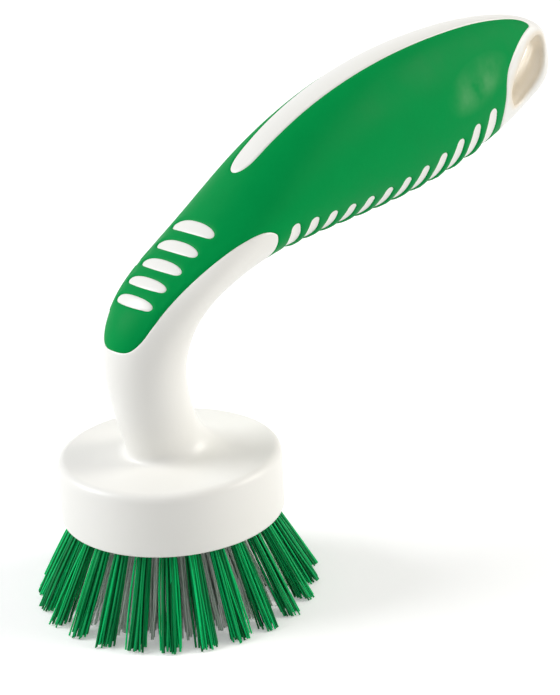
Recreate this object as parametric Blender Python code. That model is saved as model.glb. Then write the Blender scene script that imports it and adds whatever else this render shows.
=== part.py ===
"""A round-headed kitchen brush with a swept handle, modelled at its real size in metres.

The brush stands on its bristle tips at z = 0. The block's axis is the Z axis, and the handle
sweeps up from the block and runs out along +X. The XZ plane is the handle's plane of symmetry.
"""
import math

import bmesh
import bpy
from mathutils import Vector
from mathutils.geometry import delaunay_2d_cdt

MM = 0.001

# Brush block
BLOCK_DIAMETER = 60.0 * MM
BLOCK_HEIGHT = 17.3 * MM
BLOCK_TOP_FILLET = 2.4 * MM
BLOCK_FOOT_FILLET = 0.8 * MM

# Handle, measured from the block's axis and from the block's top face
HANDLE_REACH = 155.8 * MM
HANDLE_RISE = 86.6 * MM
NECK_DEPTH = 22.1 * MM
THUMB_DEPTH = 15.1 * MM
GRIP_DEPTH = 43.9 * MM
END_DEPTH = 32.3 * MM
NECK_WIDTH = 24.7 * MM
GRIP_WIDTH = 31.6 * MM
END_WIDTH = 16.2 * MM
NECK_LIP_FILLET = 2.3 * MM
NECK_SWEEP_FILLET = 11.0 * MM

# Hanging hole, placed from the tip of the handle
HANG_HOLE_LENGTH = 24.4 * MM
HANG_HOLE_WIDTH = 10.4 * MM
HANG_HOLE_SETBACK = 16.3 * MM
HANG_HOLE_DROP = 6.6 * MM
HANG_HOLE_TILT = math.radians(44.0)

# Soft grip, moulded into a pocket of the core
GRIP_SKIN = 1.6 * MM
SEAT_CLEARANCE = 0.3 * MM
THUMB_SLOT_HEIGHT = 3.9 * MM
RIB_PITCH = 7.6 * MM
RIB_WINDOW_WIDTH = 4.0 * MM
RIB_LEAN = 4.2 * MM
RIB_BULGE = 0.7 * MM
GRIP_FACET = 6.4 * MM

# Bristles
BRISTLE_LENGTH = 23.1 * MM
TUFT_HOLE_DIAMETER = 4.4 * MM
TUFT_HOLE_DEPTH = 6.0 * MM
TUFT_TIP_DIAMETER = 6.0 * MM
STRAND_ROOT_DIAMETER = 0.84 * MM
STRAND_TIP_DIAMETER = 1.2 * MM
BLOCK_RIM = 5.8 * MM
BRISTLE_SPREAD = 12.6 * MM

# Flat wire anchor across the folded root of each tuft
ANCHOR_HEIGHT = 1.4 * MM
ANCHOR_THICKNESS = 0.5 * MM

# One overrun serves all cuts
CUT_OVERRUN = 1.5 * MM

# Counts
SECTION_POINTS = 32
FILLET_STEPS = 4
NECK_RINGS = 6
HANDLE_RINGS = 24
END_RINGS = 3
THUMB_SLOTS = 5
TUFT_SIDES = 6
GREEN_TUFTS = 25
MIDDLE_TUFTS = 20
INNER_TUFTS = 9
HOLE_END_POINTS = 9

# The spine of the handle from the block to the tip, as shares of the reach and of the rise
SPINE_REACH_SHARES = (-0.007, -0.0475, -0.033, 0.0266, 0.128, 0.2526, 0.397, 0.548, 0.698, 0.844, 0.987, 1.0)
SPINE_RISE_SHARES = (0.0283, 0.2471, 0.4036, 0.5133, 0.6074, 0.7119, 0.7858, 0.8406, 0.8834, 0.9296, 0.9734, 1.0)
# Half of the depth across the spine, as shares of the neck's, thumb rest's, grip's and end's depth
NECK_DEPTH_SHARES = (0.498, 0.529, 0.471)
THUMB_DEPTH_SHARES = (0.46, 0.56)
GRIP_DEPTH_SHARES = (0.338, 0.456, 0.51, 0.492)
END_DEPTH_SHARES = (0.563, 0.334, 0.0)
# How the depth leans at each point of the spine, from +X towards +Z
DEPTH_LEANS = (180.0, 160.0, 149.0, 131.0, 116.0, 113.0, 108.5, 104.6, 102.6, 102.4, 108.0, 108.0)
# Half of the width, as shares of the neck's, grip's and end's width
NECK_WIDTH_SHARES = (0.385, 0.457)
GRIP_WIDTH_SHARES = (0.462, 0.509, 0.49, 0.434)
END_WIDTH_SHARES = (0.667, 0.432, 0.0)

# Edges of the soft grip: a share of the handle's length, and the turn from the top ridge in degrees
FRONT_EDGE_SHARES = (
    (0.0755, 0.0), (0.08, 25.7), (0.096, 38.0), (0.124, 44.3), (0.172, 48.3), (0.23, 51.6), (0.28, 56.9),
    (0.324, 65.4), (0.363, 79.6), (0.378, 93.8), (0.378, 104.0), (0.371, 122.0), (0.359, 140.0),
    (0.352, 160.0), (0.35, 180.0))
END_EDGE_SHARES = (
    (0.862, 180.0), (0.857, 158.0), (0.849, 137.8), (0.85, 120.5), (0.854, 105.6), (0.858, 94.0),
    (0.866, 84.5), (0.88, 75.6), (0.9, 63.7), (0.922, 50.5), (0.936, 38.5), (0.934, 29.5),
    (0.924, 24.0), (0.873, 21.2), (0.8, 21.4), (0.73, 21.2), (0.66, 20.6), (0.595, 19.2), (0.532, 17.2),
    (0.466, 15.0), (0.423, 12.0), (0.409, 6.5), (0.405, 0.0))
# The thumb slots and the rib windows run between these shares of the handle's length
THUMB_ZONE_SHARES = (0.157, 0.3115)
RIB_ZONE_SHARES = (0.416, 0.827)
THUMB_SLOT_TURN = 30.0
RIB_TOP_TURN = 128.0
RIB_TOP_FALL = 22.0
# The rings of tufts between the outer one and the centre, as shares of the outer ring's radius
MIDDLE_RING_SHARE = 0.745
INNER_RING_SHARE = 0.421

BLOCK_RADIUS = BLOCK_DIAMETER / 2
BLOCK_TOP = BRISTLE_LENGTH + BLOCK_HEIGHT
OUTER_ROOT_RADIUS = BLOCK_RADIUS - BLOCK_RIM

PLASTIC_WHITE = (0.84, 0.83, 0.81, 1.0)
RUBBER_GREEN = (0.0, 0.29, 0.061, 1.0)
FILAMENT_GREEN = (0.0, 0.33, 0.09, 1.0)
FILAMENT_WHITE = (0.78, 0.79, 0.78, 1.0)


def clear_scene():
    """Remove the scene's objects."""
    for item in list(bpy.context.scene.objects):
        bpy.data.objects.remove(item, do_unlink=True)


def principled(name, colour, roughness, metallic=0.0):
    """A plain Principled material."""
    material = bpy.data.materials.new(name)
    material.use_nodes = True
    shader = material.node_tree.nodes["Principled BSDF"]
    shader.inputs["Base Color"].default_value = colour
    shader.inputs["Roughness"].default_value = roughness
    shader.inputs["Metallic"].default_value = metallic
    return material


def mesh_from(name, points, faces):
    """A closed mesh whose faces point outwards."""
    mesh = bpy.data.meshes.new(name)
    mesh.from_pydata([tuple(point) for point in points], [], faces)
    solid = bmesh.new()
    solid.from_mesh(mesh)
    bmesh.ops.recalc_face_normals(solid, faces=solid.faces)
    solid.to_mesh(mesh)
    solid.free()
    mesh.shade_smooth()
    mesh.set_sharp_from_angle(angle=math.radians(35.0))
    return mesh


def add_piece(name, mesh, material, parent, height=0.0, turn=0.0):
    """One named piece of the brush, turned about the block's axis."""
    piece = bpy.data.objects.new(name, mesh)
    piece.location = (0.0, 0.0, height)
    piece.rotation_euler = (0.0, 0.0, turn)
    piece.parent = parent
    bpy.context.scene.collection.objects.link(piece)
    if not mesh.materials:
        mesh.materials.append(material)
    return piece


def cut_with(piece, name, mesh):
    """Cut one closed mesh out of a piece and keep the cutter hidden."""
    cutter = bpy.data.objects.new(name, mesh)
    cutter.display_type = "WIRE"
    cutter.hide_render = True
    bpy.context.scene.collection.objects.link(cutter)
    cut = piece.modifiers.new(name, "BOOLEAN")
    cut.operation = "DIFFERENCE"
    cut.solver = "EXACT"
    cut.object = cutter


def spline(controls, share):
    """A clamped uniform cubic B-spline, for share from 0 to 1."""
    spans = len(controls) - 3
    knots = [min(max(index - 3, 0), spans) for index in range(len(controls) + 4)]
    place = min(max(share, 0.0), 1.0) * spans
    span = min(int(place), spans - 1)
    values = [controls[span + index] for index in range(4)]
    for level in range(1, 4):
        for index in range(3, level - 1, -1):
            low = knots[span + index]
            high = knots[span + index + 4 - level]
            blend = (place - low) / (high - low)
            values[index] = values[index - 1] * (1 - blend) + values[index] * blend
    return values[3]


def handle_controls():
    """The spine, the half depths and the half widths that guide the handle's surface."""
    spine = [Vector((HANDLE_REACH * reach, 0.0, BLOCK_TOP + HANDLE_RISE * rise))
             for reach, rise in zip(SPINE_REACH_SHARES, SPINE_RISE_SHARES)]
    depths = [NECK_DEPTH * share for share in NECK_DEPTH_SHARES]
    depths += [THUMB_DEPTH * share for share in THUMB_DEPTH_SHARES]
    depths += [GRIP_DEPTH * share for share in GRIP_DEPTH_SHARES]
    depths += [END_DEPTH * share for share in END_DEPTH_SHARES]
    leans = [math.radians(lean) for lean in DEPTH_LEANS]
    reaches = [Vector((depth * math.cos(lean), 0.0, depth * math.sin(lean)))
               for depth, lean in zip(depths, leans)]
    widths = [NECK_WIDTH * share for share in NECK_WIDTH_SHARES]
    widths += [GRIP_WIDTH * share for share in GRIP_WIDTH_SHARES]
    widths += [END_WIDTH * share for share in END_WIDTH_SHARES]
    return spine, reaches, widths


SPINE, DEPTH_REACHES, HALF_WIDTHS = handle_controls()


def handle_point(share, turn):
    """A point of the handle's surface: turn 0 is the top ridge, pi is the underside."""
    centre = spline(SPINE, share)
    depth = spline(DEPTH_REACHES, share)
    width = spline(HALF_WIDTHS, share)
    return centre + depth * math.cos(turn) + Vector((0.0, -width * math.sin(turn), 0.0))


def handle_normal(share, turn):
    """The outward normal of the handle's surface."""
    step = 0.002
    along = handle_point(share + step, turn) - handle_point(share - step, turn)
    around = handle_point(share, turn + step) - handle_point(share, turn - step)
    return around.cross(along).normalized()


def spine_length():
    """The length of the handle along its spine."""
    steps = 200
    points = [spline(SPINE, index / steps) for index in range(steps + 1)]
    return sum((b - a).length for a, b in zip(points, points[1:]))


HANDLE_LENGTH = spine_length()
# Rolls the handle's surface out flat, close to its real size at the grip
GIRTH_RADIUS = (GRIP_DEPTH + GRIP_WIDTH) / 4
HALF_GIRTH = math.pi * GIRTH_RADIUS


def quarter_round(radius, outer, base, first, last):
    """Radius and height of points along a quarter round of the block's profile."""
    turns = [first + (last - first) * index / FILLET_STEPS for index in range(FILLET_STEPS + 1)]
    return [(outer - radius + radius * math.cos(turn), base + radius * math.sin(turn)) for turn in turns]


def block_rings(turns):
    """Rings of the block from its underside, round both fillets, to its top face."""
    quarter = math.pi / 2
    foot_centre = BRISTLE_LENGTH + BLOCK_FOOT_FILLET
    top_centre = BLOCK_TOP - BLOCK_TOP_FILLET
    profile = quarter_round(BLOCK_FOOT_FILLET, BLOCK_RADIUS, foot_centre, -quarter, 0.0)
    profile += quarter_round(BLOCK_TOP_FILLET, BLOCK_RADIUS, top_centre, 0.0, quarter)
    return [[Vector((-radius * math.cos(turn), -radius * math.sin(turn), height)) for turn in turns]
            for radius, height in profile]


def fillet_start(turn, fillet):
    """The share of the length at which the neck stands one fillet above the block."""
    low, high = 0.0, THUMB_ZONE_SHARES[0]
    for _ in range(24):
        middle = (low + high) / 2
        if handle_point(middle, turn).z - BLOCK_TOP < fillet:
            low = middle
        else:
            high = middle
    return high


def neck_rings(turns):
    """Rings from the block's top face, up a tight lip in front and a wide sweep behind, to the neck."""
    columns = []
    neck_end = FRONT_EDGE_SHARES[4][0]
    for turn in turns:
        behind = (1 - math.cos(turn)) / 2
        fillet = NECK_LIP_FILLET + (NECK_SWEEP_FILLET - NECK_LIP_FILLET) * behind
        start = fillet_start(turn, fillet)
        top = handle_point(start, turn)
        along = handle_point(start + 0.004, turn) - top
        corner = top - along * ((top.z - BLOCK_TOP) / along.z)
        outward = Vector((-math.cos(turn), -math.sin(turn), 0.0))
        foot = corner + outward * fillet
        column = []
        for index in range(FILLET_STEPS + 1):
            blend = index / (FILLET_STEPS + 1)
            column.append(foot * (1 - blend) ** 2 + corner * 2 * blend * (1 - blend) + top * blend ** 2)
        for index in range(NECK_RINGS):
            column.append(handle_point(start + (neck_end - start) * index / NECK_RINGS, turn))
        columns.append(column)
    return [list(ring) for ring in zip(*columns)]


def handle_rings(turns):
    """Even rings from the neck on, and then closer and closer ones where the end rounds off."""
    first = FRONT_EDGE_SHARES[4][0]
    shares = [first + (1 - first) * index / (HANDLE_RINGS + 1) for index in range(HANDLE_RINGS + 1)]
    for _ in range(END_RINGS):
        shares.append((shares[-1] + 1) / 2)
    return [[handle_point(share, turn) for turn in turns] for share in shares]


def core_mesh():
    """The one-piece moulding: block, neck, body and end as one loft."""
    turns = [2 * math.pi * index / SECTION_POINTS for index in range(SECTION_POINTS)]
    rings = block_rings(turns) + neck_rings(turns) + handle_rings(turns)
    points = [point for ring in rings for point in ring]
    count = SECTION_POINTS
    faces = [list(reversed(range(count)))]
    for row in range(len(rings) - 1):
        for index in range(count):
            side = (index + 1) % count
            faces.append([row * count + index, row * count + side,
                          (row + 1) * count + side, (row + 1) * count + index])
    tip = len(points)
    points.append(handle_point(1.0, 0.0))
    last = (len(rings) - 1) * count
    for index in range(count):
        faces.append([last + index, last + (index + 1) % count, tip])
    return mesh_from("handle_core", points, faces)


def hang_hole_mesh():
    """A slot with round ends, straight through the handle's end."""
    round_radius = HANG_HOLE_WIDTH / 2
    straight = HANG_HOLE_LENGTH / 2 - round_radius
    long_way = Vector((math.cos(HANG_HOLE_TILT), 0.0, math.sin(HANG_HOLE_TILT)))
    short_way = Vector((-math.sin(HANG_HOLE_TILT), 0.0, math.cos(HANG_HOLE_TILT)))
    centre = SPINE[-1] - Vector((HANG_HOLE_SETBACK, 0.0, HANG_HOLE_DROP))
    outline = []
    for side in (1, -1):
        for index in range(HOLE_END_POINTS):
            turn = math.pi * (index / (HOLE_END_POINTS - 1) - 0.5)
            along = side * (straight + round_radius * math.cos(turn))
            across = side * round_radius * math.sin(turn)
            outline.append(centre + long_way * along + short_way * across)
    half_width = Vector((0.0, GRIP_WIDTH / 2 + CUT_OVERRUN, 0.0))
    count = len(outline)
    points = [point - half_width for point in outline] + [point + half_width for point in outline]
    faces = [list(range(count)), list(reversed(range(count, 2 * count)))]
    for index in range(count):
        side = (index + 1) % count
        faces.append([index, index + count, side + count, side])
    return mesh_from("hang_hole", points, faces)


def flat(share, degrees):
    """A place on the rolled-out surface from a share of the length and a turn in degrees."""
    return (share * HANDLE_LENGTH, min(math.radians(degrees), math.pi) * GIRTH_RADIUS)


def thumb_notch(centre):
    """Half of a thumb slot: a straight lower edge, a round corner and an arched upper edge."""
    low = centre * HANDLE_LENGTH - THUMB_SLOT_HEIGHT / 2
    reach = math.radians(THUMB_SLOT_TURN) * GIRTH_RADIUS
    shape_shares = ((1.0, 0.0), (0.94, 0.45), (0.74, 0.8), (0.46, 0.97), (0.16, 0.97), (0.0, 0.86), (0.0, 0.0))
    return [(low + THUMB_SLOT_HEIGHT * height, reach * across) for height, across in shape_shares]


def rib_row():
    """The rib windows' places: the flat place of each top end and how far it leans."""
    first, last = RIB_ZONE_SHARES
    room = (last - first) * HANDLE_LENGTH
    count = max(int(room / RIB_PITCH + 0.5), 1) + 1
    row = []
    for index in range(count):
        offset = 2 * index / (count - 1) - 1
        along = first * HANDLE_LENGTH + room * index / (count - 1)
        around = math.radians(RIB_TOP_TURN - RIB_TOP_FALL * offset ** 2) * GIRTH_RADIUS
        row.append((along, around, RIB_LEAN * (1 - 0.6 * offset ** 2)))
    return row


def rib_centre(rib, around):
    """The place along the handle of a rib window's middle line, which leans back as it goes under."""
    along, top, lean = rib
    under = max(around - top, 0.0) / (HALF_GIRTH - top)
    return along - lean * math.sin(under * math.pi / 2)


def rib_notch(rib):
    """Half of a rib window: up one side from the underside, round its top end, and down again."""
    top = rib[1]
    half = RIB_WINDOW_WIDTH / 2
    levels = [HALF_GIRTH + (top + half - HALF_GIRTH) * index / 3 for index in range(4)]
    rise = [(rib_centre(rib, level) - half, level) for level in levels]
    crown = []
    for turn in (0.25, 0.5, 0.75):
        level = top + half - half * math.sin(math.pi * turn)
        crown.append((rib_centre(rib, top) - half * math.cos(math.pi * turn), level))
    fall = [(rib_centre(rib, level) + half, level) for level in reversed(levels)]
    return rise + crown + fall


def grip_outline():
    """Half of the soft grip rolled out flat, with its notches for the slots and the windows.

    Each point is its place along and around, and how far it bulges.
    """
    ribs = rib_row()
    outline = [flat(*place) + (0.0,) for place in FRONT_EDGE_SHARES]
    for index, rib in enumerate(ribs):
        outline += [place + (0.0,) for place in rib_notch(rib)]
        if index + 1 < len(ribs):
            middle = (rib_centre(rib, HALF_GIRTH) + rib_centre(ribs[index + 1], HALF_GIRTH)) / 2
            outline.append((middle, HALF_GIRTH, RIB_BULGE))
    outline += [flat(*place) + (0.0,) for place in END_EDGE_SHARES]
    first, last = THUMB_ZONE_SHARES
    for index in reversed(range(THUMB_SLOTS)):
        centre = first + (last - first) * index / (THUMB_SLOTS - 1)
        outline += [place + (0.0,) for place in thumb_notch(centre)]
    return outline


def rib_crests():
    """Points along the crest of each green rib, between two windows."""
    ribs = rib_row()
    crests = []
    for left, right in zip(ribs, ribs[1:]):
        top = (left[1] + right[1]) / 2
        for step, lift in ((0.0, 0.5), (0.36, 1.0), (0.68, 1.0)):
            around = top + (HALF_GIRTH - top) * step
            middle = (rib_centre(left, around) + rib_centre(right, around)) / 2
            crests.append((middle, around, RIB_BULGE * lift))
    return crests


def is_inside(place, outline):
    """Whether a flat place lies inside the outline."""
    along, around = place[:2]
    inside = False
    for a, b in zip(outline, outline[1:] + outline[:1]):
        if (a[1] > around) != (b[1] > around):
            crossing = a[0] + (around - a[1]) * (b[0] - a[0]) / (b[1] - a[1])
            if along < crossing:
                inside = not inside
    return inside


def gap_to_edges(place, outline):
    """The distance from a flat place to the nearest edge of the outline."""
    spot = Vector(place[:2])
    least = HANDLE_LENGTH
    for a, b in zip(outline, outline[1:] + outline[:1]):
        start = Vector(a[:2])
        edge = Vector(b[:2]) - start
        share = min(max((spot - start).dot(edge) / edge.length_squared, 0.0), 1.0)
        least = min(least, (spot - start - edge * share).length)
    return least


def grip_fill(outline):
    """Places inside the outline: the crests of the ribs and an even field elsewhere."""
    fill = [place for place in rib_crests() if is_inside(place, outline)]
    crests = list(fill)
    rows = int(HALF_GIRTH / GRIP_FACET) + 1
    columns = int(HANDLE_LENGTH / GRIP_FACET) + 1
    for row in range(rows + 1):
        for column in range(columns + 1):
            stagger = 0.5 * (row % 2)
            place = ((column + stagger) * GRIP_FACET, (row + 0.25) * HALF_GIRTH / rows, 0.0)
            if place[1] >= HALF_GIRTH or not is_inside(place, outline):
                continue
            if gap_to_edges(place, outline) < 0.45 * GRIP_FACET:
                continue
            spot = Vector(place[:2])
            if all((spot - Vector(crest[:2])).length > 0.8 * GRIP_FACET for crest in crests):
                fill.append(place)
    return fill


def on_seam(a, b):
    """Whether an edge lies where the two halves of the grip meet."""
    top = a[1] == 0.0 and b[1] == 0.0
    return top or (a[1] == HALF_GIRTH and b[1] == HALF_GIRTH)


def edge_shift(index, outline, surface, normals):
    """The move of one edge point that carries both its edges inwards by one unit of length."""
    count = len(outline)
    inwards = []
    for a, b in ((index - 1, index), (index, (index + 1) % count)):
        if not on_seam(outline[a], outline[b]):
            edge = (surface[b] - surface[a]).normalized()
            inwards.append(normals[index].cross(edge).normalized())
    if not inwards:
        return Vector((0.0, 0.0, 0.0))
    if len(inwards) == 1:
        level = Vector((inwards[0].x, 0.0, inwards[0].z)).normalized()
        return level / level.dot(inwards[0])
    return (inwards[0] + inwards[1]) / (1 + max(inwards[0].dot(inwards[1]), -0.5))


def grip_triangles(outline, places):
    """Triangles over all the places that lie in the outline."""
    spots = [Vector(place[:2]) / HANDLE_LENGTH for place in places]
    loop = [list(range(len(outline)))]
    result = delaunay_2d_cdt(spots, [], loop, 1, 1e-7)
    sources = [origins[0] for origins in result[3]]
    return [[sources[index] for index in face] for face in result[2]]


def grip_shell(name, inset, outer_lift, bulge_share, inner_drop):
    """Both halves of the soft grip as one closed shell over the handle's surface."""
    outline = grip_outline()
    places = outline + grip_fill(outline)
    triangles = grip_triangles(outline, places)
    turns = [(along / HANDLE_LENGTH, around / GIRTH_RADIUS) for along, around, _ in places]
    surface = [handle_point(share, turn) for share, turn in turns]
    normals = [handle_normal(share, turn) for share, turn in turns]
    shifts = [edge_shift(index, outline, surface, normals) * inset for index in range(len(outline))]
    shifts += [Vector((0.0, 0.0, 0.0))] * (len(places) - len(outline))
    points = []
    numbers = {}
    for layer in ("outer", "inner"):
        for side in (1, -1):
            for index, (_, around, bulge) in enumerate(places):
                seam = around in (0.0, HALF_GIRTH)
                if seam and side == -1:
                    numbers[layer, side, index] = numbers[layer, 1, index]
                    continue
                lift = outer_lift + bulge * bulge_share if layer == "outer" else -inner_drop
                point = surface[index] + shifts[index] + normals[index] * lift
                across = 0.0 if seam else side * point.y
                numbers[layer, side, index] = len(points)
                points.append(Vector((point.x, across, point.z)))
    faces = []
    for side in (1, -1):
        for a, b, c in triangles:
            faces.append([numbers["outer", side, index] for index in (a, b, c)])
            faces.append([numbers["inner", side, index] for index in (a, b, c)])
        for a in range(len(outline)):
            b = (a + 1) % len(outline)
            if not on_seam(outline[a], outline[b]):
                outer_a, outer_b = numbers["outer", side, a], numbers["outer", side, b]
                inner_a, inner_b = numbers["inner", side, a], numbers["inner", side, b]
                faces += [[outer_a, outer_b, inner_b], [outer_a, inner_b, inner_a]]
    return mesh_from(name, points, faces)


def tuft_rings():
    """Each ring of tufts: name, count, radius at the block, lean outwards and first turn."""
    rings = []
    for name, count, share, first in (("green_tuft", GREEN_TUFTS, 1.0, math.radians(12.0)),
                                      ("white_middle_tuft", MIDDLE_TUFTS, MIDDLE_RING_SHARE, 0.0),
                                      ("white_inner_tuft", INNER_TUFTS, INNER_RING_SHARE, 0.0)):
        rings.append((name, count, OUTER_ROOT_RADIUS * share, BRISTLE_SPREAD * share / BRISTLE_LENGTH, first))
    rings.append(("white_centre_tuft", 1, 0.0, 0.0, 0.0))
    return rings


def hexagon(diameter):
    """The corners of a tuft's cross-section."""
    corners = [2 * math.pi * index / TUFT_SIDES for index in range(TUFT_SIDES)]
    return [(diameter / 2 * math.cos(corner), diameter / 2 * math.sin(corner)) for corner in corners]


def leaning_point(radius, lean, place, drop):
    """A point below the block's underside, in a tuft whose filaments lean outwards."""
    return Vector((radius + lean * drop + place[0], place[1], -drop))


def tuft_holes_mesh():
    """Every tuft hole of the block as one cutter."""
    points = []
    faces = []
    for _, count, radius, lean, first in tuft_rings():
        for index in range(count):
            turn = first + 2 * math.pi * index / count
            base = len(points)
            for drop in (CUT_OVERRUN, -TUFT_HOLE_DEPTH):
                for place in hexagon(TUFT_HOLE_DIAMETER):
                    point = leaning_point(radius, lean, place, drop)
                    points.append(placed(point, turn))
            faces.append([base + corner for corner in range(TUFT_SIDES)])
            faces.append([base + TUFT_SIDES + corner for corner in reversed(range(TUFT_SIDES))])
            for corner in range(TUFT_SIDES):
                side = (corner + 1) % TUFT_SIDES
                faces.append([base + corner, base + corner + TUFT_SIDES,
                              base + side + TUFT_SIDES, base + side])
    return mesh_from("tuft_holes", points, faces)


def placed(point, turn):
    """A point of a tuft turned about the block's axis and lifted to the block's underside."""
    return Vector((point.x * math.cos(turn) - point.y * math.sin(turn),
                   point.x * math.sin(turn) + point.y * math.cos(turn),
                   point.z + BRISTLE_LENGTH))


def strand_corners(centre, diameter, heading):
    """The three corners of one filament strand."""
    corners = []
    for index in range(3):
        turn = heading + 2 * math.pi * index / 3
        corners.append((centre[0] + diameter / 2 * math.cos(turn), centre[1] + diameter / 2 * math.sin(turn)))
    return corners


def tuft_mesh(name, radius, lean):
    """One tuft: its bound root with the wire anchor across it, and the strands that fan out."""
    root = hexagon(TUFT_HOLE_DIAMETER - 2 * SEAT_CLEARANCE)
    anchor_top = SEAT_CLEARANCE - TUFT_HOLE_DEPTH
    root_top = anchor_top + ANCHOR_HEIGHT
    thick = ANCHOR_THICKNESS / 2
    bar = [(thick, root[1][1]), (-thick, root[1][1]), (-thick, root[4][1]), (thick, root[4][1])]
    root_circle = (TUFT_HOLE_DIAMETER - STRAND_ROOT_DIAMETER) / 2 - 2 * SEAT_CLEARANCE
    tip_circle = (TUFT_TIP_DIAMETER - STRAND_TIP_DIAMETER) / 2
    headings = [None] + [2 * math.pi * index / TUFT_SIDES for index in range(TUFT_SIDES)]
    cap = list(root)
    tips = []
    for heading in headings:
        reach = (0.0, 0.0) if heading is None else (math.cos(heading), math.sin(heading))
        start = (root_circle * reach[0], root_circle * reach[1])
        end = (tip_circle * reach[0], tip_circle * reach[1])
        cap += strand_corners(start, STRAND_ROOT_DIAMETER, heading or 0.0)
        tips += strand_corners(end, STRAND_TIP_DIAMETER, heading or 0.0)
    points = [leaning_point(radius, lean, place, 0.0) for place in cap]
    tip_base = len(points)
    points += [leaning_point(radius, lean, place, BRISTLE_LENGTH) for place in tips]
    top = len(points)
    points += [leaning_point(radius, lean, place, root_top) for place in root]
    foot = len(points)
    points += [leaning_point(radius, lean, place, root_top) for place in bar]
    crown = len(points)
    points += [leaning_point(radius, lean, place, anchor_top) for place in bar]
    faces = [[corner, corner + 1, top + corner + 1, top + corner] for corner in (0, 2, 3)]
    faces.append([5, 0, top, top + 5])
    faces.append([1, 2, top + 2, foot + 1, crown + 1, crown, foot, top + 1])
    faces.append([4, 5, top + 5, foot + 3, crown + 3, crown + 2, foot + 2, top + 4])
    faces.append([top, top + 1, foot, foot + 3, top + 5])
    faces.append([top + 2, top + 3, top + 4, foot + 2, foot + 1])
    faces.append([foot, crown, crown + 3, foot + 3])
    faces.append([foot + 1, foot + 2, crown + 2, crown + 1])
    faces.append([crown, crown + 1, crown + 2, crown + 3])
    strands = [[TUFT_SIDES + 3 * number + corner for corner in range(3)] for number in range(len(headings))]
    spots = [Vector(place) / TUFT_HOLE_DIAMETER for place in cap]
    result = delaunay_2d_cdt(spots, [], [list(range(TUFT_SIDES))] + strands, 0, 1e-7)
    for face in result[2]:
        corners = [result[3][index][0] for index in face]
        if sorted(corners) not in strands:
            faces.append(corners)
    for number in range(len(headings)):
        start = TUFT_SIDES + 3 * number
        end = tip_base + 3 * number
        for corner in range(3):
            side = (corner + 1) % 3
            faces.append([start + corner, end + corner, end + side, start + side])
        faces.append([end, end + 2, end + 1])
    return mesh_from(name, points, faces)


def add_bristles(brush):
    """Every tuft in its hole."""
    green = principled("filament_green", FILAMENT_GREEN, 0.45)
    white = principled("filament_white", FILAMENT_WHITE, 0.45)
    for name, count, radius, lean, first in tuft_rings():
        mesh = tuft_mesh(name, radius, lean)
        material = green if name == "green_tuft" else white
        for index in range(count):
            turn = first + 2 * math.pi * index / count
            label = name if count == 1 else f"{name}_{index + 1:02d}"
            add_piece(label, mesh, material, brush, BRISTLE_LENGTH, turn)


def build():
    """Model the whole brush."""
    clear_scene()
    brush = bpy.data.objects.new("brush", None)
    bpy.context.scene.collection.objects.link(brush)
    core = add_piece("handle_core", core_mesh(), principled("plastic_white", PLASTIC_WHITE, 0.3), brush)
    cut_with(core, "tuft_holes", tuft_holes_mesh())
    cut_with(core, "hang_hole", hang_hole_mesh())
    pocket = grip_shell("grip_pocket", -SEAT_CLEARANCE / 2, CUT_OVERRUN, 0.0, GRIP_SKIN + SEAT_CLEARANCE)
    cut_with(core, "grip_pocket", pocket)
    skin = grip_shell("rubber_grip", SEAT_CLEARANCE / 2, 0.0, 1.0, GRIP_SKIN)
    add_piece("rubber_grip", skin, principled("rubber_green", RUBBER_GREEN, 0.5), brush)
    add_bristles(brush)


build()
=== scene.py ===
"""A round kitchen brush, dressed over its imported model: moulded handle, soft grip and bristles."""
import math

import bmesh
import bpy
import numpy as np
from mathutils import Matrix, Vector, kdtree
from mathutils.geometry import delaunay_2d_cdt


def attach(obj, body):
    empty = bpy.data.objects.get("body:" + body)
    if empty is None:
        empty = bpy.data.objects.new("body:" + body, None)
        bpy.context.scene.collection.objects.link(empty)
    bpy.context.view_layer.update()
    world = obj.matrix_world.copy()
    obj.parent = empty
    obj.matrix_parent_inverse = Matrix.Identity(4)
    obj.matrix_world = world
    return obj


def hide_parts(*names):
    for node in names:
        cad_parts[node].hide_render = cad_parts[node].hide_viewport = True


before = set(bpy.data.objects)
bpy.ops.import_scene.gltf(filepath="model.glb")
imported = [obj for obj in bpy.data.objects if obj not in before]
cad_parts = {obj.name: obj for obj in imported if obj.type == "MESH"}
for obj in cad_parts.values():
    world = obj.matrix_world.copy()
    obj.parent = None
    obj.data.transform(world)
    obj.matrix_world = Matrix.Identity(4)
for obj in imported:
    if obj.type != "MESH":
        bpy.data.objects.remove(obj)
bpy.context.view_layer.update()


# The handle's surface. Its spine rises from the block, sweeps out along +X and ends in a
# round tip, where its section grows squarer. The surface is rolled out flat to lay its edges
# out: each place is its way along the spine and its way around from the top ridge, in metres.
MM = 0.001
BLOCK_TOP = 40.4 * MM
HANDLE_REACH = 155.8 * MM
HANDLE_RISE = 86.6 * MM
NECK_DEPTH = 22.1 * MM
THUMB_DEPTH = 15.1 * MM
GRIP_DEPTH = 43.9 * MM
END_DEPTH = 32.3 * MM
NECK_WIDTH = 24.7 * MM
GRIP_WIDTH = 31.6 * MM
END_WIDTH = 16.2 * MM
SPINE_REACH_SHARES = (-0.007, -0.0475, -0.033, 0.0266, 0.128, 0.2526, 0.397, 0.548, 0.698, 0.844,
                      0.987, 1.0)
SPINE_RISE_SHARES = (0.0283, 0.2471, 0.4036, 0.5133, 0.6074, 0.7119, 0.7858, 0.8406, 0.8834, 0.9296,
                     0.9734, 1.0)
DEPTH_SHARES = ((NECK_DEPTH, (0.498, 0.529, 0.471)), (THUMB_DEPTH, (0.46, 0.56)),
                (GRIP_DEPTH, (0.338, 0.456, 0.51, 0.492)), (END_DEPTH, (0.563, 0.334, 0.0)))
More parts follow.
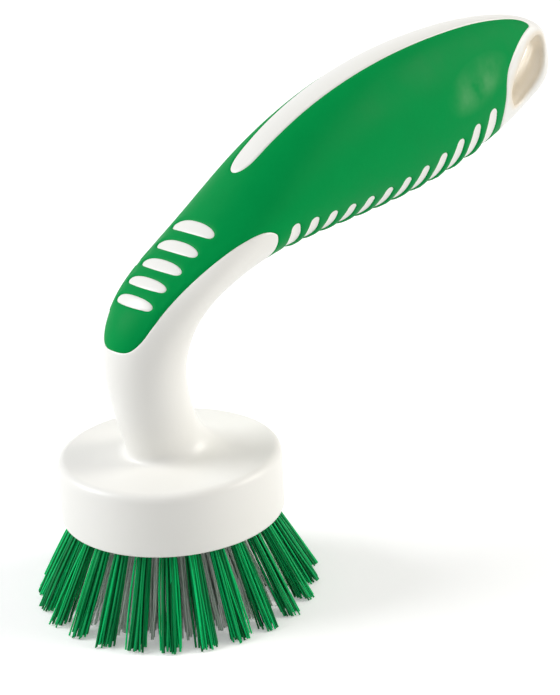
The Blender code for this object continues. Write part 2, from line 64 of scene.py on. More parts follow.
DEPTH_LEANS = (180.0, 160.0, 149.0, 131.0, 116.0, 113.0, 108.5, 104.6, 102.6, 102.4, 108.0, 108.0)
WIDTH_SHARES = ((NECK_WIDTH, (0.385, 0.457)), (GRIP_WIDTH, (0.462, 0.509, 0.49, 0.434)),
                (END_WIDTH, (0.667, 0.432, 0.0)))
END_SQUARENESS = 0.17
END_SQUARE_ZONE = (0.91, 0.96)
END_TIP_SHARE = 0.04
SPINE_STEPS = 200
SLOPE_STEP = 0.02 * MM


def spline_weights(shares, controls):
    """The weights of a clamped uniform cubic B-spline's controls at each share of its length."""
    spans = controls - 3
    knots = np.clip(np.arange(controls + 4) - 3.0, 0.0, spans)
    places = np.clip(shares, 0.0, 1.0) * spans
    weights = np.zeros((len(places), controls + 3))
    weights[np.arange(len(places)), np.minimum(places.astype(int), spans - 1) + 3] = 1.0
    for degree in (1, 2, 3):
        for index in range(controls + 3 - degree):
            rise = knots[index + degree] - knots[index]
            fall = knots[index + degree + 1] - knots[index + 1]
            rising = (places - knots[index]) / rise if rise else 0.0
            falling = (knots[index + degree + 1] - places) / fall if fall else 0.0
            weights[:, index] = rising * weights[:, index] + falling * weights[:, index + 1]
    return weights[:, :controls]


def handle_controls():
    """The spine, the half depths and the half widths that guide the handle's surface."""
    spine = [(HANDLE_REACH * reach, 0.0, BLOCK_TOP + HANDLE_RISE * rise)
             for reach, rise in zip(SPINE_REACH_SHARES, SPINE_RISE_SHARES)]
    depths = [size * share for size, shares in DEPTH_SHARES for share in shares]
    reaches = [(depth * math.cos(math.radians(lean)), 0.0, depth * math.sin(math.radians(lean)))
               for depth, lean in zip(depths, DEPTH_LEANS)]
    widths = [size * share for size, shares in WIDTH_SHARES for share in shares]
    return np.array(spine), np.array(reaches), np.array(widths)


SPINE, DEPTH_REACHES, HALF_WIDTHS = handle_controls()
spine_steps = spline_weights(np.linspace(0.0, 1.0, SPINE_STEPS + 1), len(SPINE)) @ SPINE
HANDLE_LENGTH = float(np.linalg.norm(np.diff(spine_steps, axis=0), axis=1).sum())
GIRTH_RADIUS = (GRIP_DEPTH + GRIP_WIDTH) / 4
HALF_GIRTH = math.pi * GIRTH_RADIUS


def flat(share, degrees):
    """A flat place from a share of the handle's length and a turn from its top ridge."""
    return np.array((share * HANDLE_LENGTH, min(math.radians(degrees), math.pi) * GIRTH_RADIUS))


def eased(shares):
    """Shares held between 0 and 1, with a soft start and end."""
    shares = np.clip(shares, 0.0, 1.0)
    return shares * shares * (3 - 2 * shares)


def surface_points(places):
    """The points of the handle's surface at flat places; the half on the -Y side."""
    shares = places[:, 0] / HANDLE_LENGTH
    turns = places[:, 1] / GIRTH_RADIUS
    weights = spline_weights(shares, len(SPINE))
    points = weights @ SPINE + (weights @ DEPTH_REACHES) * np.cos(turns)[:, None]
    start, end = END_SQUARE_ZONE
    tip = np.clip((1.0 - shares) / END_TIP_SHARE, 0.0, 1.0)
    square = END_SQUARENESS * eased((shares - start) / (end - start)) * tip * (2 - tip)
    sides = (np.sin(turns) + square * np.sin(3 * turns)) / (1 - square)
    points[:, 1] -= spline_weights(shares, len(HALF_WIDTHS)) @ HALF_WIDTHS * sides
    return points


def surface_slopes(places):
    """How a surface point moves for one unit along and for one unit around."""
    safe = np.array(places, dtype=float)
    safe[:, 0] = np.clip(safe[:, 0], SLOPE_STEP, HANDLE_LENGTH - 2 * SLOPE_STEP)
    along, around = (surface_points(safe + step) - surface_points(safe - step)
                     for step in ((SLOPE_STEP, 0.0), (0.0, SLOPE_STEP)))
    return along / (2 * SLOPE_STEP), around / (2 * SLOPE_STEP)


def unit(vectors):
    """Vectors brought to a length of one."""
    return vectors / np.linalg.norm(vectors, axis=1)[:, None]


def surface_normals(places):
    """The outward normals of the handle's surface at flat places."""
    along, around = surface_slopes(places)
    return unit(np.cross(around, along))


# The edges of the soft grip on that surface. The grip is moulded over the core, which shows
# through it in five thumb slots on top, twelve slanted windows underneath, and a long stripe
# along the ridge. Both parts round off softly into the line where they meet.
FRONT_EDGE = ((0.0755, 0.0), (0.08, 25.7), (0.096, 38.0), (0.124, 44.3), (0.172, 48.3), (0.23, 51.6),
              (0.28, 56.9), (0.324, 65.4), (0.363, 79.6), (0.378, 93.8), (0.378, 104.0), (0.371, 122.0),
              (0.359, 140.0), (0.352, 160.0), (0.35, 180.0))
END_EDGE = ((0.865, 180.0), (0.861, 158.0), (0.854, 137.8), (0.855, 120.5), (0.859, 105.6),
            (0.862, 94.0), (0.868, 84.5), (0.88, 75.6), (0.9, 63.7), (0.922, 50.5), (0.936, 38.5),
            (0.934, 29.5), (0.924, 24.0), (0.873, 21.2), (0.8, 21.4), (0.73, 21.2), (0.66, 20.6),
            (0.595, 19.2), (0.532, 17.2), (0.466, 15.0), (0.423, 12.0), (0.409, 6.5), (0.405, 0.0))
THUMB_ZONE = (0.157, 0.3115)
THUMB_SLOTS = 5
THUMB_SLOT_HEIGHT = 3.9 * MM
THUMB_SLOT_REACH = math.radians(31.5) * GIRTH_RADIUS
THUMB_SLOT_SHAPE = ((0.97, 0.0), (0.96, 0.25), (0.92, 0.48), (0.84, 0.68), (0.71, 0.85), (0.52, 0.97),
                    (0.3, 1.0), (0.1, 0.95), (-0.02, 0.84), (-0.08, 0.66), (-0.14, 0.38), (-0.17, 0.0))
RIB_ZONE = (0.4145, 0.8285)
RIB_PITCH = 7.6 * MM
RIB_TOP_TURN = 128.0
RIB_TOP_FALL = 22.0
RIB_TOP_SLANT = 4.0
RIB_TOP_SKEW = 8.0
RIB_LEAN = 4.2 * MM
RIB_LEAN_FALL = 0.6
RIB_BULGE = 0.5 * MM
WINDOW_WIDTH = 4.6 * MM
WINDOW_TOP_SHARE = 0.72
WINDOW_GROWTH = 7.0 * MM
WINDOW_CAP_STEPS = 8
EDGE_SPACING = 0.6 * MM
EDGE_PROBE = 0.05 * MM
TINY = 1e-9


def smooth_path(places, spacing):
    """An even path through flat places, square to the seams where it ends on them."""
    places = [np.array(place, dtype=float) for place in places]
    before = places[1] * (1.0, -1.0) + (0.0, 2 * places[0][1])
    after = places[-2] * (1.0, -1.0) + (0.0, 2 * places[-1][1])
    guides = [before] + places + [after]
    path = []
    for first in range(len(places) - 1):
        a, b, c, d = guides[first:first + 4]
        gaps = [max(np.linalg.norm(q - p), TINY) ** 0.5 for p, q in ((a, b), (b, c), (c, d))]
        t0, t1, t2, t3 = np.cumsum([0.0] + gaps)
        steps = max(round(np.linalg.norm(c - b) / spacing), 1)
        for step in range(steps):
            t = t1 + (t2 - t1) * step / steps
            ab = a + (b - a) * (t - t0) / (t1 - t0)
            bc = b + (c - b) * (t - t1) / (t2 - t1)
            cd = c + (d - c) * (t - t2) / (t3 - t2)
            early = ab + (bc - ab) * (t - t0) / (t2 - t0)
            late = bc + (cd - bc) * (t - t1) / (t3 - t1)
            path.append(early + (late - early) * (t - t1) / (t2 - t1))
    return path + [places[-1]]


def rib_windows():
    """Each window's place along, the height of its top end, and how far it leans."""
    first, last = np.array(RIB_ZONE) * HANDLE_LENGTH
    count = int((last - first) / RIB_PITCH + 0.5) + 1
    windows = []
    for index in range(count):
        offset = 2 * index / (count - 1) - 1
        slant = RIB_TOP_SLANT + RIB_TOP_SKEW * (offset ** 2 - 1)
        top_turn = RIB_TOP_TURN - RIB_TOP_FALL * offset ** 2 + slant * offset
        top = math.radians(top_turn) * GIRTH_RADIUS
        along = first + (last - first) * index / (count - 1)
        windows.append((along, top, RIB_LEAN * (1 - RIB_LEAN_FALL * offset ** 2)))
    return windows


def window_centre(window, around):
    """Where a window's middle line lies: it leans back as it goes under."""
    along, top, lean = window
    under = np.maximum(around - top, 0.0) / (HALF_GIRTH - top)
    return along - lean * np.sin(under * math.pi / 2)


def window_half(window, around):
    """Half of a window's width, which narrows to its top end."""
    growth = eased((around - window[1]) / WINDOW_GROWTH)
    return WINDOW_WIDTH / 2 * (WINDOW_TOP_SHARE + (1 - WINDOW_TOP_SHARE) * growth)


def window_path(window):
    """One window: up its near side from the underside, round its top end, and down again."""
    top = window[1]
    cap = WINDOW_WIDTH / 2 * WINDOW_TOP_SHARE
    steps = round((HALF_GIRTH - top - cap) / EDGE_SPACING)
    levels = np.linspace(HALF_GIRTH, top + cap, steps + 1)
    path = [(window_centre(window, level) - window_half(window, level), level) for level in levels]
    middle = window_centre(window, top + cap)
    for turn in np.linspace(0.0, math.pi, WINDOW_CAP_STEPS + 1)[1:-1]:
        path.append((middle - cap * math.cos(turn), top + cap - cap * math.sin(turn)))
    path += [(window_centre(window, level) + window_half(window, level), level)
             for level in levels[::-1]]
    return [np.array(place) for place in path]


def grip_outline():
    """Half of the soft grip's edge as one closed flat loop."""
    outline = smooth_path([flat(*place) for place in FRONT_EDGE], EDGE_SPACING)
    for window in rib_windows():
        outline += window_path(window)
    outline += smooth_path([flat(*place) for place in END_EDGE], EDGE_SPACING)
    first, last = np.array(THUMB_ZONE) * HANDLE_LENGTH
    for index in reversed(range(THUMB_SLOTS)):
        low = first + (last - first) * index / (THUMB_SLOTS - 1) - THUMB_SLOT_HEIGHT / 2
        shape = [(low + THUMB_SLOT_HEIGHT * height, THUMB_SLOT_REACH * across)
                 for height, across in THUMB_SLOT_SHAPE]
        outline += smooth_path(shape, EDGE_SPACING)
    return np.array(outline)


OUTLINE = grip_outline()
ON_TOP = np.abs(OUTLINE[:, 1]) < TINY
ON_BASE = np.abs(OUTLINE[:, 1] - HALF_GIRTH) < TINY
OUTLINE[ON_TOP, 1] = 0.0
OUTLINE[ON_BASE, 1] = HALF_GIRTH
IS_SEAM = (ON_TOP & np.roll(ON_TOP, -1)) | (ON_BASE & np.roll(ON_BASE, -1))


def inside_loop(places, loop):
    """Which flat places lie inside a closed loop."""
    inside = np.zeros(len(places), dtype=bool)
    for a, b in zip(loop, np.roll(loop, -1, axis=0)):
        crosses = (a[1] > places[:, 1]) != (b[1] > places[:, 1])
        if not crosses.any():
            continue
        crossing = a[0] + (places[crosses, 1] - a[1]) * (b[0] - a[0]) / (b[1] - a[1])
        inside[crosses] ^= places[crosses, 0] < crossing
    return inside


EDGE_POINTS = surface_points(OUTLINE)
edge_tree = kdtree.KDTree(len(OUTLINE))
for edge_index, edge_point in enumerate(EDGE_POINTS):
    touches_edge = not (IS_SEAM[edge_index] and IS_SEAM[edge_index - 1])
    if touches_edge:
        edge_tree.insert(edge_point, edge_index)
edge_tree.balance()


def edge_distance(point):
    """The distance in space from a surface point to the grip's nearest edge."""
    _, nearest, gap = edge_tree.find(point)
    for start in (nearest - 1, nearest):
        if IS_SEAM[start]:
            continue
        a = EDGE_POINTS[start]
        edge = EDGE_POINTS[(start + 1) % len(EDGE_POINTS)] - a
        share = min(max(float((point - a) @ edge) / float(edge @ edge), 0.0), 1.0)
        gap = min(gap, float(np.linalg.norm(point - a - edge * share)))
    return gap


def edge_inwards():
    """At each edge place, the direction in the surface that leads into the grip."""
    normals = surface_normals(OUTLINE)
    following = unit(np.roll(EDGE_POINTS, -1, axis=0) - EDGE_POINTS)
    inwards = np.cross(normals, following)
    inwards[IS_SEAM] = 0.0
    total = inwards + np.roll(inwards, 1, axis=0)
    total[ON_TOP | ON_BASE, 1] = 0.0
    lengths = np.linalg.norm(total, axis=1)
    lengths[lengths < TINY] = 1.0
    total /= lengths[:, None]
    probe = OUTLINE + flat_steps(OUTLINE, total * EDGE_PROBE)
    mistaken = ~inside_loop(probe, OUTLINE) & ~ON_TOP & ~ON_BASE
    if mistaken.sum() > len(OUTLINE) / 2:
        total = -total
    return total


def made_of(target, first, second):
    """How much of each of two plane vectors makes up a third."""
    size = first[0] * second[1] - first[1] * second[0]
    return np.stack(((target[0] * second[1] - target[1] * second[0]) / size,
                     (first[0] * target[1] - first[1] * target[0]) / size), axis=1)


def flat_steps(places, moves):
    """The flat moves that carry surface points by small moves in space."""
    along, around = surface_slopes(places)
    target, first, second = (((one * along).sum(axis=1), (one * around).sum(axis=1))
                             for one in (moves, along, around))
    return made_of(target, first, second)


EDGE_INWARDS = edge_inwards()


# The hanging hole, a slanted oval through the handle's end. Its rim is crisp beside the grip
# and rolls over in a wide soft round towards the tip, and its lower wall swells to a waist.
HOLE_LENGTH = 23.6 * MM
HOLE_WIDTH = 12.6 * MM
HOLE_SETBACK = 15.25 * MM
HOLE_DROP = 7.0 * MM
HOLE_TILT = math.radians(41.0)
HOLE_SQUARENESS = 2.5
HOLE_SHARP_ROUND = 0.5 * MM
HOLE_SOFT_ROUND = 2.0 * MM
HOLE_SOFT_TURN = math.radians(-20.0)
HOLE_SOFT_SLOPE = 0.8
HOLE_SOFT_BASE = 0.35
HOLE_ROUND_STEPS = 6
HOLE_WALL_STEPS = 7
HOLE_POINTS = 72
HOLE_FADE = 1.9 * MM
HOLE_WAIST = 1.8 * MM
HOLE_WAIST_SLOPE = 1.25
SEARCH_SHARES = np.linspace(0.75, 0.995, 99)
SEARCH_TURNS = np.linspace(0.06, 0.94, 89)
SEARCH_ROUNDS = 8


def hole_outline():
    """The rounded oval's outline in the XZ plane, and its outward directions."""
    long_way = np.array((math.cos(HOLE_TILT), math.sin(HOLE_TILT)))
    short_way = np.array((-math.sin(HOLE_TILT), math.cos(HOLE_TILT)))
    centre = SPINE[-1][[0, 2]] - (HOLE_SETBACK, HOLE_DROP)
    turns = 2 * math.pi * np.arange(HOLE_POINTS) / HOLE_POINTS
    along, across = (np.sign(value) * np.abs(value) ** (2 / HOLE_SQUARENESS)
                     for value in (np.cos(turns), np.sin(turns)))
    points = centre + np.outer(along * HOLE_LENGTH / 2, long_way)
    points += np.outer(across * HOLE_WIDTH / 2, short_way)
    onward = np.roll(points, -1, axis=0) - np.roll(points, 1, axis=0)
    return points, unit(np.stack((onward[:, 1], -onward[:, 0]), axis=1))


def places_under(points):
    """The flat places whose surface points have these X and Z."""
    grid = np.meshgrid(SEARCH_SHARES * HANDLE_LENGTH, SEARCH_TURNS * HALF_GIRTH)
    grid = np.stack(grid, axis=-1).reshape(-1, 2)
    seen = surface_points(grid)[:, [0, 2]]
    places = np.array([grid[np.argmin(((seen - point) ** 2).sum(axis=1))] for point in points])
    for _ in range(SEARCH_ROUNDS):
        missing = points - surface_points(places)[:, [0, 2]]
        along, around = (slope[:, [0, 2]].T for slope in surface_slopes(places))
        places += made_of(missing.T, along, around)
    return places


hole_points, hole_outwards = hole_outline()
soft_way = np.array((math.cos(HOLE_SOFT_TURN), math.sin(HOLE_SOFT_TURN)))
lower_way = np.array((math.sin(HOLE_TILT), -math.cos(HOLE_TILT)))
hole_waists = 1.0 + (hole_outwards @ lower_way - 1.0) * HOLE_WAIST_SLOPE
hole_waists = HOLE_WAIST * np.clip(hole_waists, 0.0, 1.0)
softness = np.clip(hole_outwards @ soft_way * HOLE_SOFT_SLOPE + HOLE_SOFT_BASE, 0.0, 1.0)
hole_rounds = HOLE_SHARP_ROUND + (HOLE_SOFT_ROUND - HOLE_SHARP_ROUND) * softness
HOLE_LOOP = places_under(hole_points + hole_outwards * hole_rounds[:, None])


def hole_rings():
    """Rings of the hole from its rim's outer edge, over the round and through to the middle plane."""
    rings = []
    for step in range(1, HOLE_ROUND_STEPS + 1):
        turn = math.pi / 2 * step / HOLE_ROUND_STEPS
        spread = hole_points + hole_outwards * (hole_rounds * (1 - math.sin(turn)))[:, None]
        points = surface_points(places_under(spread))
        points[:, 1] += hole_rounds * (1 - math.cos(turn))
        rings.append(points)
    last = rings[-1]
    for step in range(1, HOLE_WALL_STEPS + 1):
        share = step / HOLE_WALL_STEPS
        points = np.array(last)
        points[:, 1] *= 1 - share
        points[:, [0, 2]] -= hole_outwards * (hole_waists * share * (2 - share))[:, None]
        rings.append(points)
    return rings


# The flat net of the whole handle. Small triangles follow the grip's edges and the hole's
# rim, and even ones fill the rest. The core and the grip are both cut from this one net.
NECK_LIP_FILLET = 2.3 * MM
NECK_SWEEP_FILLET = 11.0 * MM
NECK_COLUMNS = 49
FIELD_SPACING = 1.6 * MM
TIP_SPACING = 0.9 * MM
TIP_SHARE = 0.9
BAND_OFFSETS = (0.3 * MM, 0.75 * MM)
BAND_SPACING = 0.28 * MM
BAND_KEPT_SHARE = 0.85
SEAM_MARGIN = 0.12 * MM
FIELD_MARGIN = 0.35 * MM
START_MARGIN = 0.7 * MM
LEAST_SPACING = 0.62 * MM
ROW_SHARE = 0.87
HALVINGS = 24
NEARLY = 1e-6
JOIN_GAP = 2e-6
TURNS = [math.pi * index / (NECK_COLUMNS - 1) for index in range(NECK_COLUMNS)]


def neck_fillet(turn):
    """The fillet's size: a tight lip in front and a wide sweep behind."""
    return NECK_LIP_FILLET + (NECK_SWEEP_FILLET - NECK_LIP_FILLET) * (1 - math.cos(turn)) / 2


def neck_starts():
    """The flat places at which the neck stands one fillet above the block."""
    starts = []
    for turn in TURNS:
        low, high = 0.0, THUMB_ZONE[0] * HANDLE_LENGTH
        for _ in range(HALVINGS):
            middle = (low + high) / 2
            place = np.array([(middle, turn * GIRTH_RADIUS)])
            if surface_points(place)[0, 2] - BLOCK_TOP < neck_fillet(turn):
                low = middle
            else:
                high = middle
        starts.append((high, turn * GIRTH_RADIUS))
    starts[-1] = (starts[-1][0], HALF_GIRTH)
    return np.array(starts)


NECK_STARTS = neck_starts()


def keep_apart(candidates, kept, spacing):
    """The candidates that keep their distance in space from each other and from what is kept."""
    cells = {}
    for place in kept:
        cells.setdefault(tuple(np.floor(place / spacing).astype(int)), []).append(place)
    chosen = []
    for place in candidates:
        column, row = np.floor(place / spacing).astype(int)
        near = [other for i in (-1, 0, 1) for j in (-1, 0, 1)
                for other in cells.get((column + i, row + j), [])]
        if all(np.linalg.norm(place - other) >= spacing for other in near):
            cells.setdefault((column, row), []).append(place)
            chosen.append(place)
    return chosen


def band_places():
    """Places in narrow bands on both sides of the grip's edges."""
    chosen = []
    free = ~(IS_SEAM & np.roll(IS_SEAM, 1))
    for offset in BAND_OFFSETS:
        for side in (1, -1):
            places = OUTLINE + flat_steps(OUTLINE, EDGE_INWARDS * side * offset)
            places[ON_TOP, 1] = 0.0
            places[ON_BASE, 1] = HALF_GIRTH
            points = surface_points(places)
            fits = []
            for place, point, is_free, on_line in zip(places, points, free, ON_TOP | ON_BASE):
                inner = SEAM_MARGIN < place[1] < HALF_GIRTH - SEAM_MARGIN
                if is_free and (inner or on_line) and edge_distance(point) > BAND_KEPT_SHARE * offset:
                    fits.append(place)
            chosen += keep_apart(fits, chosen, BAND_SPACING)
    return chosen


def field_places():
    """Even places over the rest of the surface, with a finer field at the tip."""
    field = []
    for low, high, spacing in ((0.0, TIP_SHARE, FIELD_SPACING), (TIP_SHARE, 1.0, TIP_SPACING)):
        rows = round(HALF_GIRTH / (spacing * ROW_SHARE))
        columns = round((high - low) * HANDLE_LENGTH / spacing)
        for row in range(rows + 1):
            for column in range(columns + (high == 1.0)):
                shift = 0.5 * (row % 2) * (column < columns)
                field.append(((low + (high - low) * (column + shift) / columns) * HANDLE_LENGTH,
                              HALF_GIRTH * row / rows))
    field = np.array(field)
    starts = np.interp(field[:, 1], NECK_STARTS[:, 1], NECK_STARTS[:, 0])
    field = field[field[:, 0] > starts + START_MARGIN]
    field = field[~inside_loop(field, HOLE_LOOP)]
    points = surface_points(field)
    return [place for place, point in zip(field, points)
            if edge_distance(point) > BAND_OFFSETS[-1] + FIELD_MARGIN]


def flat_net():
    """All places of the net, its triangles, and which of them belong to the grip."""
    bands = band_places()
    rim = list(HOLE_LOOP)
    field = keep_apart(field_places(), rim + bands, LEAST_SPACING)
    places = list(OUTLINE) + list(NECK_STARTS) + rim + bands + field
    edges = []
    base = 0
    for count, open_ends in ((len(OUTLINE), 0), (NECK_COLUMNS, 1), (len(rim), 0)):
        edges += [(base + index, base + (index + 1) % count) for index in range(count - open_ends)]
        base += count
    spots = [Vector(place / HANDLE_LENGTH) for place in places]
    result = delaunay_2d_cdt(spots, edges, [], 0, 1e-7)
    net = np.array([tuple(spot) for spot in result[0]]) * HANDLE_LENGTH
    net[np.abs(net[:, 1]) < NEARLY, 1] = 0.0
    net[np.abs(net[:, 1] - HALF_GIRTH) < NEARLY, 1] = HALF_GIRTH
    numbers = {source: index for index, sources in enumerate(result[3]) for source in sources}
    triangles = np.array([list(face) for face in result[2]])
    middles = net[triangles].mean(axis=1)
    starts = np.interp(middles[:, 1], NECK_STARTS[:, 1], NECK_STARTS[:, 0])
    used = (middles[:, 0] > starts) & ~inside_loop(middles, HOLE_LOOP)
    triangles = triangles[used]
    in_grip = inside_loop(middles[used], OUTLINE)
    return net, triangles, in_grip, numbers


NET, TRIANGLES, IN_GRIP, NUMBERS = flat_net()
NET_POINTS = surface_points(NET)
NET_NORMALS = surface_normals(NET)
NET_GAPS = np.array([edge_distance(point) for point in NET_POINTS])
EDGE_NUMBERS = [NUMBERS[index] for index in range(len(OUTLINE))]
WALLS = [(EDGE_NUMBERS[index], EDGE_NUMBERS[(index + 1) % len(OUTLINE)])
         for index in range(len(OUTLINE)) if not IS_SEAM[index]]
SHIFTS = np.zeros_like(NET_POINTS)
SHIFTS[EDGE_NUMBERS] = EDGE_INWARDS


def round_over(gaps, depth, reach):
    """How far a surface drops as it rounds off into an edge."""
    near = np.clip(1 - gaps / reach, 0.0, 1.0)
    return -depth * near * near


def whole_mesh(name, points, faces):
    """A closed mesh from the half on the -Y side, mirrored and joined along the middle plane."""
    used = sorted({index for face in faces for index in face})
    renumbered = {old: new for new, old in enumerate(used)}
    faces = [[renumbered[index] for index in face] for face in faces]
    mesh = bpy.data.meshes.new(name)
    mesh.from_pydata([tuple(point) for point in points[used]], [], faces)
    body = bmesh.new()
    body.from_mesh(mesh)
    for vertex in body.verts:
        if abs(vertex.co.y) < NEARLY:
            vertex.co.y = 0.0
    bmesh.ops.remove_doubles(body, verts=body.verts, dist=JOIN_GAP)
    both = bmesh.ops.duplicate(body, geom=body.verts[:] + body.edges[:] + body.faces[:])
    mirrored = [item for item in both["geom"] if isinstance(item, bmesh.types.BMVert)]
    bmesh.ops.scale(body, vec=(1.0, -1.0, 1.0), verts=mirrored)
    bmesh.ops.remove_doubles(body, verts=body.verts, dist=JOIN_GAP)
    bmesh.ops.dissolve_degenerate(body, edges=body.edges, dist=1e-7)
    bmesh.ops.recalc_face_normals(body, faces=body.faces)
    return mesh, body


def finished(mesh, body, sharp_degrees):
    """Write a body back to its mesh, smooth but for its sharp edges."""
    body.to_mesh(mesh)
    body.free()
    mesh.shade_smooth()
    mesh.set_sharp_from_angle(angle=math.radians(sharp_degrees))
    return mesh


# The moulded handle, one piece of white polypropylene from the block to the tip. The block
# is a round disc drilled for 55 tufts, and the neck grows out of it with a tight lip in front
# and a wide sweep behind. The grip sits in a shallow pocket of the core.
BLOCK_RADIUS = 30.0 * MM
BRISTLE_LENGTH = 23.1 * MM
BLOCK_TOP_FILLET = 2.4 * MM
BLOCK_FOOT_FILLET = 0.8 * MM
POCKET_DEPTH = 1.75 * MM
LAND_DROP = 0.3 * MM
SLOT_DROP = 0.06 * MM
SEAM_DROP = 0.2 * MM
SEAM_ROUND = 0.6 * MM
SEAM_GAP = 0.012 * MM
SLOT_ZONE_END = 0.35
NECK_SLOPE_STEP = 0.8 * MM
FILLET_STEPS = 12
CORNER_STEPS = 8
BLOCK_TOP_BLENDS = (0.12, 0.3, 0.55, 0.8)
HANDLE_SHARP_ANGLE = 40.0
TUFT_HOLE_RADIUS = 2.2 * MM
TUFT_HOLE_DEPTH = 6.0 * MM
TUFT_HOLE_STEPS = ((0.0, 1.0), (0.25 * MM, 0.955), (TUFT_HOLE_DEPTH, 0.955))
TUFT_HOLE_SIDES = 16
TUFT_RINGS = ((25, 24.2 * MM, 0.515, math.radians(12.0)), (20, 18.029 * MM, 0.4064, 0.0),
              (9, 10.188 * MM, 0.2296, 0.0), (1, 0.0, 0.0, 0.0))
WHITE_TINTS = ((0.85, 0.84, 0.8, 1.0), (0.87, 0.865, 0.835, 1.0))
# Painted shade: the hanging hole's wall is tinted darker and warmer, as the white moulding looks in the
# hole's shade.
HOLE_PAINTED_SHADE = (0.81, 0.74, 0.62, 1.0)
WHITE_CLOUD = (38.0, 3.0)
WHITE_GRAIN = (900.0, 2.0)
WHITE_RELIEF = (0.05, 0.2 * MM)
WHITE_ROUGHNESS = (0.29, 0.39)
WHITE_SPECULAR = 0.45


def core_lifts():
    """How far the core's surface lies below the handle's: at its edges, slots and windows."""
    lifts = round_over(NET_GAPS, SEAM_DROP, SEAM_ROUND)
    along, around = NET[:, 0], NET[:, 1]
    in_slots = (along < SLOT_ZONE_END * HANDLE_LENGTH) & (around < THUMB_SLOT_REACH)
    in_slots &= along > THUMB_ZONE[0] * HANDLE_LENGTH - THUMB_SLOT_HEIGHT
    lifts[in_slots] -= SLOT_DROP * np.clip(NET_GAPS[in_slots] / SEAM_ROUND, 0.0, 1.0)
    for window in rib_windows():
        in_window = np.abs(along - window_centre(window, around)) < window_half(window, around)
        in_window &= around > window[1]
        lifts[in_window] -= LAND_DROP * np.clip(NET_GAPS[in_window] / SEAM_ROUND, 0.0, 1.0)
    return lifts


def neck_rows():
    """Rows from the neck's start, down its fillet and out over the block, to the underside."""
    turns = np.array(TURNS)
    starts = surface_points(NECK_STARTS)
    further = surface_points(NECK_STARTS + (NECK_SLOPE_STEP, 0.0))
    rises = further - starts
    corners = starts - rises * ((starts[:, 2] - BLOCK_TOP) / rises[:, 2])[:, None]
    outward = np.stack((-np.cos(turns), -np.sin(turns), np.zeros_like(turns)), axis=1)
    fillets = np.array([neck_fillet(turn) for turn in turns])
    feet = corners + outward * fillets[:, None]
    rows = []
    for step in range(1, FILLET_STEPS + 1):
        blend = 1 - step / FILLET_STEPS
        rows.append(feet * (1 - blend) ** 2 + corners * 2 * blend * (1 - blend) + starts * blend ** 2)
    corner_turns = [math.pi / 2 * step / CORNER_STEPS for step in range(CORNER_STEPS + 1)]
    profile = []
    for height, fillet, up in ((BLOCK_TOP, BLOCK_TOP_FILLET, 1), (BRISTLE_LENGTH, BLOCK_FOOT_FILLET, -1)):
        for turn in corner_turns[::-up]:
            profile.append((BLOCK_RADIUS + fillet * (math.cos(turn) - 1),
                            height + up * fillet * (math.sin(turn) - 1)))
    rims = [outward * radius + (0.0, 0.0, height) for radius, height in profile]
    for blend in BLOCK_TOP_BLENDS:
        rows.append(feet * (1 - blend) + rims[0] * blend)
    return rows + rims


def tuft_places():
    """Each tuft's place at the underside of the block, its lean outwards and its turn."""
    return [(radius, lean, first + 2 * math.pi * index / count)
            for count, radius, lean, first in TUFT_RINGS for index in range(count)]


def close_underside(body):
    """Close the block's underside with its drilled tuft holes."""
    rim = [vertex for vertex in body.verts
           if vertex.is_boundary and abs(vertex.co.z - BRISTLE_LENGTH) < NEARLY]
    rim.sort(key=lambda vertex: math.atan2(vertex.co.y, vertex.co.x))
    vertices = list(rim)
    loops = [list(range(len(rim)))]
    for radius, lean, turn in tuft_places():
        out = Vector((math.cos(turn), math.sin(turn), 0.0))
        side = Vector((-math.sin(turn), math.cos(turn), 0.0))
        rings = []
        for drop, narrow in TUFT_HOLE_STEPS:
            ring = []
            for step in range(TUFT_HOLE_SIDES):
                angle = 2 * math.pi * step / TUFT_HOLE_SIDES
                reach = TUFT_HOLE_RADIUS * narrow
                point = out * (radius - lean * drop + reach * math.cos(angle))
                point += side * (reach * math.sin(angle))
                point.z = BRISTLE_LENGTH + drop
                ring.append(body.verts.new(point))
            rings.append(ring)
        for upper, lower in zip(rings, rings[1:]):
            for step in range(TUFT_HOLE_SIDES):
                following = (step + 1) % TUFT_HOLE_SIDES
                body.faces.new((upper[step], upper[following], lower[following], lower[step]))
        body.faces.new(rings[-1])
        loops.append([len(vertices) + step for step in range(TUFT_HOLE_SIDES)])
        vertices += rings[0]
    spots = [vertex.co.xy / BLOCK_RADIUS for vertex in vertices]
    result = delaunay_2d_cdt(spots, [], loops, 0, 1e-6)
    for face in result[2]:
        corners = [result[3][index][0] for index in face]
        owners = {next(number for number, loop in enumerate(loops) if corner in loop)
                  for corner in corners}
        if len(owners) == 1 and 0 not in owners:
            continue
        body.faces.new([vertices[corner] for corner in corners])


def handle_mesh():
    """The whole moulding."""
    lifts = core_lifts()
    top = NET_POINTS + NET_NORMALS * lifts[:, None] - SHIFTS * SEAM_GAP
    floor = NET_POINTS - NET_NORMALS * POCKET_DEPTH
    points = [top, floor]
    size = len(NET)
    faces = [tuple(face) for face in TRIANGLES[~IN_GRIP]]
    faces += [tuple(face + size) for face in TRIANGLES[IN_GRIP]]
    faces += [(a, b, b + size, a + size) for a, b in WALLS]
    count = 2 * size
    neck_start = [NUMBERS[len(OUTLINE) + index] for index in range(NECK_COLUMNS)]
    hole_rim = [NUMBERS[len(OUTLINE) + NECK_COLUMNS + index] for index in range(len(HOLE_LOOP))]
    for previous, rows, open_ends in ((hole_rim, hole_rings(), 0), (neck_start, neck_rows(), 1)):
        for row in rows:
            points.append(row)
            numbers = list(range(count, count + len(row)))
            for index in range(len(row) - open_ends):
                following = (index + 1) % len(row)
                faces.append((previous[index], previous[following], numbers[following], numbers[index]))
            previous = numbers
            count += len(row)
    mesh, body = whole_mesh("moulded_handle", np.vstack(points), faces)
    close_underside(body)
    bmesh.ops.recalc_face_normals(body, faces=body.faces)
    return finished(mesh, body, HANDLE_SHARP_ANGLE)


